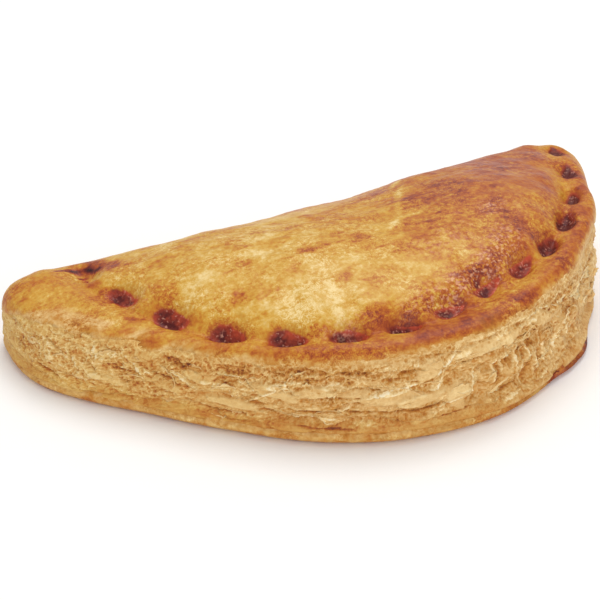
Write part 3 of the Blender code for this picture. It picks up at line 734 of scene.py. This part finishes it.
def buildLayers():
    angle = np.radians(np.linspace(layers["from"], layers["to"], layers["columns"]))
    turn = np.degrees(angle)
    part = sectionsAt(angle)
    up = np.linspace(0.0, 1.0, layers["rows"])[:, None]
    topShare = glazeShare(angle) + 0.05
    z = blend(np.maximum(bandTop(angle) - layers["overlap"], 0.3), topShare * part["wallTop"], up)
    share = z / part["wallTop"]
    plain = wallReach(part, z)
    relief, lip = layerRelief(angle, part["x"], part["y"], z, part["wallTop"])
    x, y = np.broadcast_to(part["x"], z.shape), np.broadcast_to(part["y"], z.shape)
    # torn plates, one above the other, with ragged edges
    wx = x + 1.8 * rough(x, y, z, 5.0, 40)
    wz = z + 0.6 * rough(x, y, z, 3.0, 41)
    plates, plateLitLip, plateShadedFoot = terraces(rough(wx, y, wz, 12.0, 42, 3.4, 4), 4)
    chips, chipLitLip, chipShadedFoot = terraces(rough(wx, y, wz, 4.2, 49, 1.5, 3), 3)
    # thin sheets seen from their ends, and threads over them
    sheets = wz / layers["sheetHeight"] + 1.3 * wander(x, y, 0.4 * z, 16.0, 43)
    sheets = sheets + 0.5 * wander(x, y, z, 4.0, 51)
    saw = sheets - np.floor(sheets)
    strong = ease(-0.2, 0.5, rough(x, y, z, 9.0, 52, 4.0))
    thin = strong * (0.5 - saw ** 1.5)
    # darker slits between the sheets: painted shade
    slitShade = strong * plateau(saw, 0.90, 0.97, 0.10)
    grain = rough(x, y, z, 1.4, 48, 0.9, 2)
    thread = np.abs(rough(wx, y, wz, 3.4, 46, 2.2, 2))
    thread = (1.0 - ease(0.03, 0.10, thread)) * ease(0.0, 0.25, rough(x, y, z, 7.0, 47, 4.0, 2))
    markTone, markRelief, plateShare = markedShares(part, z, 0.35 * rough(x, y, z, 3.0, 53, 1.5))
    sponge = 0.0 * z
    for centre, width, level, high in spongePlaces:
        sponge = np.maximum(sponge, bump(turn - centre, width) * bump(share - level, high))
    sponge = np.clip(sponge + 0.35 * rough(x, y, z, 6.0, 54, 3.0), 0.0, 1.0)
    calm = ease(-0.15, 0.30, rough(x, y, z, 9.0, 57, 4.0, 2) - 0.8 * sponge)
    calm = np.maximum(calm * (1.0 - 0.5 * ease(-75.0, -58.0, turn)), plateShare)
    busy = blend(1.0, 0.15, calm)
    fine = layers["chips"] * chips + layers["sheets"] * thin + layers["grain"] * grain
    fine = busy * (fine + layers["threads"] * thread) + layers["marks"] * markRelief
    fine = fine + layers["plates"] * (1.0 - 0.8 * plateShare) * plates
    firm = blend(0.30, 0.14, ease(-78.0, -58.0, turn))
    smooth = ease(0.5 * firm, firm, share) * (1.0 - ease(topShare - 0.16, topShare - 0.05, share))
    fine = blend(0.2, 1.0, smooth) * fine * (1.0 - 0.5 * ease(-184.0, -196.0, turn))
    # the borders of the band sink into the crust
    run = np.linspace(0.0, 1.0, layers["columns"])
    border = np.minimum(ease(0.0, 0.05, up), 1.0 - ease(0.94, 1.0, up))
    border = border * ease(0.0, 0.02, run) * (1.0 - ease(0.98, 1.0, run))
    sunk = np.where(up < 0.5, 1.0, 1.5) * (1.0 - border)
    reach = plain + relief + lip * (1.0 - ease(3.0, 6.0, z)) + fine - sunk
    clouds = layers["clouds"] * rough(x, y, z, 8.0, 50, 4.0)
    clouds = clouds + layers["flecks"] * rough(x, y, z, 2.6, 55, 1.2)
    # paler lips and darker feet of the stairs are painted highlight and painted shade over the amber of the
    # recesses; the threads are the dough's own paler strands
    edge = layers["chipLitLip"] * chipLitLip + layers["thread"] * thread - layers["chipShadedFoot"] * chipShadedFoot
    edge = busy * (edge - layers["slitShade"] * slitShade)
    edge = edge + layers["plateLitLip"] * plateLitLip - layers["plateShadedFoot"] * plateShadedFoot
    tone = layers["tone"] + clouds * (1.0 - 0.6 * plateShare) + markTone + layers["sponge"] * sponge
    tone = tone - blend(0.3, 1.0, smooth) * (1.0 - 0.85 * plateShare) * edge
    # darker where the ledges sink in and paler on standing grain: painted shade and highlight of the relief
    tone = tone - 0.07 * relief - 0.06 * busy * grain
    nearTop = ease(topShare - 0.20, topShare - 0.04, share)
    tone = blend(tone, layers["topTone"] + 0.14 * rough(x, y, z, 3.0, 56, 1.5), 0.7 * nearTop)
    nearBottom = ease(3.5, 0.5, z - bandTop(angle) + 0.8 * rough(x, y, z, 6.0, 62, 3.0, 2))
    nearBottom = nearBottom * (1.0 - 0.8 * ease(-75.0, -55.0, turn))
    tone = tone + 0.10 * nearBottom
    for start, end, amount in layers["changes"]:
        tone = tone + amount * ease(start, end, turn)
    # the top rows stay under the crust, also in its dents, and a back closes the band
    shellX, shellY = atReach(angle, reach)
    net = {"angle": angle, "z": z.copy(), "reach": reach}
    net.update({name: part[name] for name in ("x", "y", "wallTop")})
    high = layers["rows"] - layers["underTop"]
    dented = np.minimum(crimpRelief(shellX[high:], shellY[high:]), 0.0)
    z[high:] = np.minimum(z[high:], crustHeight(shellX[high:], shellY[high:]) - 0.9) + dented
    backX, backY = atReach(angle, plain[[0, -1]] - layers["thickness"])
    low = np.minimum(z[[0, -1]], 0.70 * part["wallTop"])
    low = np.minimum(low, crustHeight(backX, backY) + crimpRelief(backX, backY) - 2.0)
    back, shell = np.stack([backX, backY, low], -1), np.stack([shellX, shellY, z], -1)
    mesh = netMesh("layers", np.concatenate([back[:1], shell, back[1:]]) * mm, False)
    frayed = 0.3 * rough(x, y, z, 5.0, 63, 3.0)
    bare = 1.0 - 0.55 * np.clip(nearBottom + frayed * nearBottom, 0.0, 1.0)
    bare = bare - 0.45 * ease(-115.0, -175.0, turn) - 0.2 * ease(-183.0, -194.0, turn)
    fields = {"tone": tone, "pores": sponge, "calm": calm, "bare": np.maximum(bare, 0.3)}
    setFields(mesh, {name: np.concatenate([values[:1], values, values[-1:]])
                     for name, values in fields.items()})
    return mesh, net


# torn flakes that stand off the wall. A placed one has its direction in degrees, share of the height,
# half length, height and lift in mm, turn (0 upright, 180 hanging), tone and how bare it is
flakes = {
    "count": 90, "halfLength": (1.0, 3.6), "height": (0.6, 1.8), "lift": (0.10, 0.5), "thickness": 0.3,
    "calm": 0.6,
    "placed": (
        (-41.0, 0.03, 2.0, 2.6, 0.9, 8, 0.95, 0.0), (-71.0, 0.86, 8.0, 2.8, 0.5, 180, 0.02, 1.0),
        (-5.0, 0.42, 1.2, 1.3, 1.5, 30, 0.0, 1.0), (-7.0, 0.30, 2.4, 1.4, 1.2, 10, 0.0, 1.0),
        (-10.0, 0.40, 2.0, 1.2, 1.2, 170, 0.0, 1.0), (-14.0, 0.62, 3.0, 1.6, 1.3, 10, -0.2, 1.0),
        (-9.0, 0.52, 2.4, 1.4, 1.4, 190, -0.1, 1.0), (-17.0, 0.40, 2.6, 1.4, 1.2, -15, -0.2, 1.0),
        (-21.0, 0.56, 2.8, 1.6, 1.0, 170, -0.1, 1.0), (-12.0, 0.28, 2.4, 1.2, 1.2, 5, -0.1, 1.0),
        (-26.0, 0.70, 3.4, 1.4, 0.9, 185, -0.2, 1.0), (-31.0, 0.52, 3.0, 1.6, 0.9, 15, -0.2, 1.0),
        (-24.0, 0.30, 2.2, 1.2, 0.8, 0, -0.1, 1.0), (-35.0, 0.76, 3.4, 1.2, 0.7, 178, -0.2, 1.0),
        (-4.5, 0.14, 1.8, 1.6, 2.2, 20, 0.0, 1.0), (-6.5, 0.22, 1.5, 1.5, 1.9, -15, 0.0, 1.0)),
}


# the layers at a direction and a height: reach from the hub, read from their net
def wallAt(net, angle, z):
    columns = np.interp(-angle, -net["angle"], np.arange(len(net["angle"])))
    columns = np.clip(np.round(columns).astype(int), 0, len(net["angle"]) - 1)
    found = [np.interp(h, net["z"][:, c], net["reach"][:, c]) for h, c in zip(z.ravel(), columns.ravel())]
    return np.array(found).reshape(z.shape)


def buildFlakes(net):
    draw = random.Random(seed)
    along = runAlong(net["x"], net["y"])
    places = list(flakes["placed"])
    for index in range(flakes["count"]):
        turn = draw.uniform(-206.0, -2.0)
        places.append((turn, draw.uniform(0.26, 0.76), draw.uniform(*flakes["halfLength"]),
                       draw.uniform(*flakes["height"]), draw.uniform(*flakes["lift"]),
                       draw.choice((0, 180)) + draw.gauss(0.0, 16.0), draw.uniform(-0.12, 0.16), 1.0))
    run = np.linspace(-1.0, 1.0, 11)[:, None]
    out = np.array([0.0, 0.35, 0.7, 1.0, 1.0, 0.7, 0.35, 0.0])  # from the root to the tip and back
    behind = np.array([0.0, 0.0, 0.0, 0.0, 1.0, 1.0, 1.0, 1.0])
    nets, tones, bares = [], [], []
    for turn, level, halfLong, high, lift, tilt, tone, bare in places:
        ragged = np.array([draw.uniform(0.5, 1.0) for step in range(len(run))])[:, None]
        wide = high * (1.0 - np.abs(run) ** 2.4) * ragged + 0.05
        u, v = run * halfLong, wide * out
        tilted = math.radians(tilt)
        start = atTurn(turn, net["angle"], along)
        height = level * atTurn(turn, net["angle"], net["wallTop"])
        angle = np.interp(start - (u * math.cos(tilted) - v * math.sin(tilted)), along, net["angle"])
        z = np.maximum(height + u * math.sin(tilted) + v * math.cos(tilted), 0.2)
        root = np.broadcast_to(wallAt(net, angle[:, :1], z[:, :1]), z.shape)
        raised = lift * ragged * out ** 1.5 - 0.35 * (1.0 - out)
        reach = 0.5 * (root + wallAt(net, angle, z)) + raised - flakes["thickness"] * behind
        x, y = atReach(angle, reach)
        z = np.minimum(z, crustHeight(x, y) + np.minimum(crimpRelief(x, y), 0.0) - 1.2)
        nets.append(np.stack([x, y, z], -1))
        # darker towards the root, where the flake meets the wall: painted shade
        tones.append(tone + 0.30 * (1.0 - out) + 0.0 * z)
        bares.append(bare + 0.0 * z)
    mesh = netMesh("flakes", np.array(nets) * mm, True)
    tones, bares = np.array(tones), np.array(bares)
    calm = np.full(tones.shape, flakes["calm"])
    setFields(mesh, {"tone": tones, "pores": 0.0 * tones, "calm": calm, "bare": bares})
    return mesh


def plug(tree, socket, value):
    if isinstance(value, bpy.types.NodeSocket):
        tree.links.new(value, socket)
    else:
        socket.default_value = value


def addNode(tree, kind, settings=None, **inputs):
    item = tree.nodes.new("ShaderNode" + kind)
    for name, value in (settings or {}).items():
        setattr(item, name, value)
    for name, value in inputs.items():
        plug(tree, item.inputs[name.replace("_", " ")], value)
    return item


def field(tree, name):
    return addNode(tree, "Attribute", {"attribute_name": name}).outputs["Fac"]


# noise with features of a size in mm
def noiseAt(tree, place, size, detail=3.0, roughness=0.5, output="Fac"):
    item = addNode(tree, "TexNoise", None, Vector=place, Scale=1.0 / (size * mm), Detail=detail,
                   Roughness=roughness)
    return item.outputs[output]


def mapped(tree, place, **settings):
    return addNode(tree, "Mapping", None, Vector=place, **settings).outputs["Vector"]


def remap(tree, value, low, high, start, end):
    limits = {"From_Min": low, "From_Max": high, "To_Min": start, "To_Max": end}
    return addNode(tree, "MapRange", None, Value=value, **limits).outputs["Result"]


def mathNode(tree, operation, first, second):
    item = tree.nodes.new("ShaderNodeMath")
    item.operation = operation
    plug(tree, item.inputs[0], first)
    plug(tree, item.inputs[1], second)
    return item.outputs[0]


def times(tree, first, *others):
    for value in others:
        first = mathNode(tree, "MULTIPLY", first, value)
    return first


def mixColour(tree, share, first, second):
    item = tree.nodes.new("ShaderNodeMix")
    item.data_type = "RGBA"
    for socket, value in (("Factor", share), (6, first), (7, second)):
        plug(tree, item.inputs[socket], value)
    return item.outputs[2]


# the colour of a tone along a row of stops
def toned(tree, tone, stops):
    low, high = stops[0][0], stops[-1][0]
    item = addNode(tree, "ValToRGB", None, Fac=remap(tree, tone, low, high, 0.0, 1.0))
    points = item.color_ramp.elements
    for index, (place, tint) in enumerate(stops):
        share = (place - low) / (high - low)
        point = points[index] if index < 1 else points.new(share) if index < len(stops) - 1 else points[-1]
        point.position = share
        point.color = (*tint, 1.0)
    return item.outputs["Color"]


# glazed crust going over into torn dough
def baked(tree, tone):
    return mixColour(tree, field(tree, "bare"), toned(tree, tone, browned), toned(tree, tone, torn))


# noise about zero, so many tones either way
def spread(tree, place, size, detail, amount):
    value = noiseAt(tree, place, size, detail, 0.62)
    return times(tree, mathNode(tree, "SUBTRACT", value, 0.5), amount)


def added(tree, *values):
    total = values[0]
    for value in values[1:]:
        total = mathNode(tree, "ADD", total, value)
    return total


def bumped(tree, height, strength, distance, below=None):
    item = addNode(tree, "Bump", None, Height=height, Strength=strength, Distance=distance * mm)
    if below:
        tree.links.new(below, item.inputs["Normal"])
    return item.outputs["Normal"]


def bakedMaterial(name):
    material = bpy.data.materials.new(name)
    material.use_nodes = True
    tree = material.node_tree
    shader = tree.nodes["Principled BSDF"]
    place = addNode(tree, "TexCoord").outputs["Object"]
    return material, tree, shader, place


glaze = {
    "roughness": 0.46, "coatRoughness": 0.2, "specular": 0.18, "wrinkleTurn": 64, "wrinkles": 0.65,
    "mottle": 0.8, "speckle": 1.25, "islands": 0.26, "creases": 0.25, "creaseLevels": (0.42, 0.50, 0.58),
    # the last three values paint pale highlight specks on the glaze, as painted glints
    "creaseWidth": 0.045, "beadsAndGlints": 0.34, "dropGlints": 0.45, "glintTint": colour(240, 186, 150),
}
dough = {
    "roughness": 0.55, "specular": 0.3, "poreSize": 1.2, "pores": 0.28, "bend": 1.2,
    "sheetLevels": (0.38, 0.46, 0.54, 0.62), "sheetWidth": 0.02, "sheetShade": 0.20, "sheetLight": 0.24,
    "grain": 0.46, "cloud": 0.45, "laceSize": 1.5, "lace": 0.22,
}


# pale on one side of a line where smooth noise passes a level, dark on the other: the edge of a torn sheet,
# with painted light on its lit side and painted shade under it
def sheetEdges(tree, value, level, width):
    edge = mathNode(tree, "SUBTRACT", value, level)
    above = times(tree, remap(tree, edge, 0.0, width, 1.0, 0.0), mathNode(tree, "GREATER_THAN", edge, 0.0))
    below = times(tree, remap(tree, edge, -width, 0.0, 0.0, 1.0), mathNode(tree, "LESS_THAN", edge, 0.0))
    return above, below


# the pale and dark lines of several such edges
def sheetLines(tree, value, levels, width):
    pale, dark = sheetEdges(tree, value, levels[0], width)
    for level in levels[1:]:
        above, below = sheetEdges(tree, value, level, width)
        pale = mathNode(tree, "MAXIMUM", pale, above)
        dark = mathNode(tree, "MAXIMUM", dark, below)
    return pale, dark


def glazedMaterial():
    material, tree, shader, place = bakedMaterial("glazed crust")
    wrinkle, lively, lump = field(tree, "wrinkle"), field(tree, "lively"), field(tree, "lump")
    turned = mapped(tree, place, Rotation=(0.0, 0.0, math.radians(glaze["wrinkleTurn"])))
    drawn = mapped(tree, turned, Scale=(0.22, 1.0, 0.6))
    lines = times(tree, spread(tree, drawn, 1.5, 5.0, glaze["wrinkles"]), wrinkle)
    mottle = spread(tree, place, 7.0, 3.0, glaze["mottle"])
    settled = mathNode(tree, "SUBTRACT", 1.0, times(tree, wrinkle, 0.6))
    speckle = times(tree, spread(tree, place, 1.2, 4.0, glaze["speckle"]), lively, settled)
    # small dark and pale islands, and creases like the rims of blisters, with painted light on their rims
    # and painted shade at their feet
    smear = mapped(tree, place, Scale=(0.45, 1.0, 1.0))
    dark = remap(tree, noiseAt(tree, smear, 5.0, 4.0, 0.6), 0.55, 0.60, 0.0, glaze["islands"])
    apart = mapped(tree, place, Location=(0.31, 0.17, 0.0))
    pale = remap(tree, noiseAt(tree, apart, 4.2, 4.0, 0.6), 0.56, 0.62, 0.0, -0.5 * glaze["islands"])
    creased = noiseAt(tree, apart, 3.6, 4.0, 0.6)
    litRims, shadedFeet = sheetLines(tree, creased, glaze["creaseLevels"], glaze["creaseWidth"])
    crease = mathNode(tree, "SUBTRACT", shadedFeet, times(tree, litRims, 1.3))
    where = remap(tree, noiseAt(tree, place, 9.0, 2.0), 0.40, 0.60, 0.15, 1.0)
    crease = times(tree, crease, where, glaze["creases"])
    # pale bead peaks are painted glints; the same values also bump the glaze below
    beadsAndGlints = remap(tree, noiseAt(tree, place, 1.0, 2.0, 0.5), 0.48, 0.64, 0.16, -glaze["beadsAndGlints"])
    beadsAndGlints = times(tree, beadsAndGlints, mathNode(tree, "MAXIMUM", lump, times(tree, where, 0.5)))
    uneven = added(tree, times(tree, added(tree, dark, pale, crease), times(tree, lively, settled)), beadsAndGlints)
    paint = baked(tree, added(tree, field(tree, "tone"), lines, mottle, speckle, uneven))
    # burnt middles of the crimps, with painted glints
    core = field(tree, "core")
    fray = remap(tree, noiseAt(tree, place, 2.0, 2.0), 0.3, 0.7, -0.05, 0.05)
    low, high = burnt["edge"] - burnt["soft"], burnt["edge"] + burnt["soft"]
    inside = remap(tree, mathNode(tree, "ADD", core, fray), low, high, 0.0, 1.0)
    inside = times(tree, inside, field(tree, "burn"))
    lumpy = noiseAt(tree, place, 2.2, 2.0)
    depth = remap(tree, core, 0.5, 0.9, 0.16, 0.74)
    depth = added(tree, depth, remap(tree, lumpy, 0.35, 0.65, 0.30, -0.30),
                  times(tree, field(tree, "smoky"), burnt["smoke"]))
    burn = mixColour(tree, depth, (*burnt["light"], 1.0), (*burnt["dark"], 1.0))
    paintedGlint = remap(tree, noiseAt(tree, place, 0.7, 2.0), 0.56, 0.67, 0.0, burnt["paintedGlints"])
    paintedGlint = times(tree, paintedGlint, remap(tree, noiseAt(tree, place, 2.6, 1.0), 0.42, 0.58, 0.08, 1.0))
    burn = mixColour(tree, paintedGlint, burn, (*burnt["paintedGlint"], 1.0))
    paint = mixColour(tree, inside, paint, burn)
    # painted glints: pale highlight specks where the glaze stands in lumps
    dropGlints = remap(tree, noiseAt(tree, place, 0.8, 1.0), 0.54, 0.66, 0.0, glaze["dropGlints"])
    paint = mixColour(tree, times(tree, dropGlints, lump), paint, (*glaze["glintTint"], 1.0))
    tree.links.new(paint, shader.inputs["Base Color"])
    gloss = mathNode(tree, "MAXIMUM", times(tree, lump, 0.3), field(tree, "shine"))
    tree.links.new(gloss, shader.inputs["Coat Weight"])
    shader.inputs["Coat Roughness"].default_value = glaze["coatRoughness"]
    shader.inputs["Roughness"].default_value = glaze["roughness"]
    shader.inputs["Specular IOR Level"].default_value = glaze["specular"]
    normal = bumped(tree, creased, 0.6, 1.2)
    normal = bumped(tree, added(tree, lines, crease, beadsAndGlints), -0.5, 0.8, normal)
    normal = bumped(tree, lumpy, mathNode(tree, "MAXIMUM", inside, lump), 0.5, normal)
    tree.links.new(normal, shader.inputs["Normal"])
    return material


def doughMaterial():
    material, tree, shader, place = bakedMaterial("torn dough")
    spongy = field(tree, "pores")
    restless = remap(tree, field(tree, "calm"), 0.0, 1.0, 1.0, 0.42)
    flat = mapped(tree, place, Scale=(1.0, 1.0, 2.0))
    # pores, each with a chance of its own, darkened with painted shade, and the lace of cells between them
    bent = addNode(tree, "VectorMath", {"operation": "MULTIPLY_ADD"})
    plug(tree, bent.inputs[0], noiseAt(tree, place, 1.4, 2.0, 0.5, "Color"))
    plug(tree, bent.inputs[1], [dough["bend"] * mm] * 3)
    plug(tree, bent.inputs[2], place)
    bent = bent.outputs["Vector"]
    holes = addNode(tree, "TexVoronoi", None, Vector=bent, Scale=1.0 / (dough["poreSize"] * mm))
    chosen = addNode(tree, "SeparateColor", None, Color=holes.outputs["Color"]).outputs[0]
    chosen = remap(tree, mathNode(tree, "SUBTRACT", spongy, chosen), -0.20, 0.10, 0.0, 1.0)
    shadedPits = times(tree, remap(tree, holes.outputs["Distance"], 0.20, 0.42, 1.0, 0.0), chosen)
    cells = addNode(tree, "TexVoronoi", {"feature": "DISTANCE_TO_EDGE"}, Vector=bent,
                    Scale=1.0 / (dough["laceSize"] * mm))
    lace = remap(tree, cells.outputs["Distance"], 0.02, 0.20, -dough["lace"], 0.5 * dough["lace"])
    lace = times(tree, lace, remap(tree, spongy, 0.0, 0.5, 0.25, 1.0))
    sheets = noiseAt(tree, flat, 2.8, 4.0, 0.6)
    # lines along the torn sheets: painted highlights on their lit side and painted shade under them
    lights, shadedSheetLines = sheetLines(tree, sheets, dough["sheetLevels"], dough["sheetWidth"])
    edges = mathNode(tree, "SUBTRACT", times(tree, shadedSheetLines, dough["sheetShade"]),
                     times(tree, lights, dough["sheetLight"]))
    grain = spread(tree, place, 0.8, 4.0, dough["grain"])
    fine = times(tree, added(tree, edges, grain, lace), restless)
    cloud = spread(tree, flat, 3.6, 3.0, dough["cloud"])
    tone = added(tree, field(tree, "tone"), fine, cloud, times(tree, shadedPits, dough["pores"]))
    tree.links.new(baked(tree, tone), shader.inputs["Base Color"])
    shader.inputs["Roughness"].default_value = dough["roughness"]
    shader.inputs["Specular IOR Level"].default_value = dough["specular"]
    normal = bumped(tree, sheets, 0.7, 1.0)
    normal = bumped(tree, mathNode(tree, "ADD", fine, shadedPits), -0.8, 0.5, normal)
    tree.links.new(normal, shader.inputs["Normal"])
    return material


def buildPastry():
    crustMesh = buildCrust()
    layersMesh, net = buildLayers()
    flakesMesh = buildFlakes(net)
    step = np.array((*pastryShift, 0.0)) * mm
    for mesh in (crustMesh, layersMesh, flakesMesh):
        points = np.empty(len(mesh.vertices) * 3)
        mesh.vertices.foreach_get("co", points)
        mesh.vertices.foreach_set("co", (points.reshape(-1, 3) + step).ravel())
        mesh.update()
    crustPiece = addPiece("crust", crustMesh, glazedMaterial())
    tornDough = doughMaterial()
    addPiece("layers", layersMesh, tornDough)
    addPiece("flakes", flakesMesh, tornDough)
    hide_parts("pastry")


def aimed(thing, target):
    thing.rotation_euler = (Vector(target) - thing.location).to_track_quat("-Z", "Y").to_euler()


room = {
    "floorSize": 3.0, "floorColour": (0.96, 0.95, 0.935), "floorRoughness": 0.9, "worldStrength": 0.64,
    "aim": (0.0, 0.0, 0.015),
    # place in metres, size and power
    "lights": {"key": ((0.20, 0.32, 0.81), 0.5, 3.5), "fill": ((-0.12, -0.88, 0.46), 0.8, 3.2)},
}


def buildRoom():
    mesh = bpy.data.meshes.new("floor")
    half = room["floorSize"] / 2
    corners = [(-half, -half, 0), (half, -half, 0), (half, half, 0), (-half, half, 0)]
    mesh.from_pydata(corners, [], [(0, 1, 2, 3)])
    floor = bpy.data.objects.new("floor", mesh)
    bpy.context.scene.collection.objects.link(floor)
    white = bpy.data.materials.new("white floor")
    white.use_nodes = True
    shader = white.node_tree.nodes["Principled BSDF"]
    shader.inputs["Base Color"].default_value = (*room["floorColour"], 1.0)
    shader.inputs["Roughness"].default_value = room["floorRoughness"]
    mesh.materials.append(white)
    world = bpy.data.worlds.new("white room")
    bpy.context.scene.world = world
    world.use_nodes = True
    background = world.node_tree.nodes["Background"]
    background.inputs["Color"].default_value = (1.0, 1.0, 1.0, 1.0)
    background.inputs["Strength"].default_value = room["worldStrength"]
    for name, (place, size, power) in room["lights"].items():
        light = bpy.data.lights.new(name, "AREA")
        light.size = size
        light.energy = power
        lamp = bpy.data.objects.new(name, light)
        lamp.location = place
        aimed(lamp, room["aim"])
        bpy.context.scene.collection.objects.link(lamp)
    print("room", len(room["lights"]), "lights")


# the angle, distance and lens of the photo: degrees, metres and mm
view = {
    "azimuth": -21.06, "height": 29.742, "distance": 0.49624, "target": (-0.005046, 0.026285, 0.0),
    "lens": 110.79, "sensor": 36.0, "nearest": 0.01,
}


def buildCamera():
    data = bpy.data.cameras.new("camera")
    data.lens = view["lens"]
    data.sensor_width = view["sensor"]
    data.clip_start = view["nearest"]
    camera = bpy.data.objects.new("camera", data)
    turn, tilt = math.radians(view["azimuth"]), math.radians(view["height"])
    away = Vector((math.sin(turn) * math.cos(tilt), -math.cos(turn) * math.cos(tilt), math.sin(tilt)))
    camera.location = Vector(view["target"]) + away * view["distance"]
    aimed(camera, view["target"])
    bpy.context.scene.collection.objects.link(camera)
    bpy.context.scene.camera = camera
    print("camera", view["lens"], "mm")


buildPastry()
buildRoom()
buildCamera()
bpy.context.scene.view_settings.view_transform = "Standard"
bpy.context.view_layer.update()
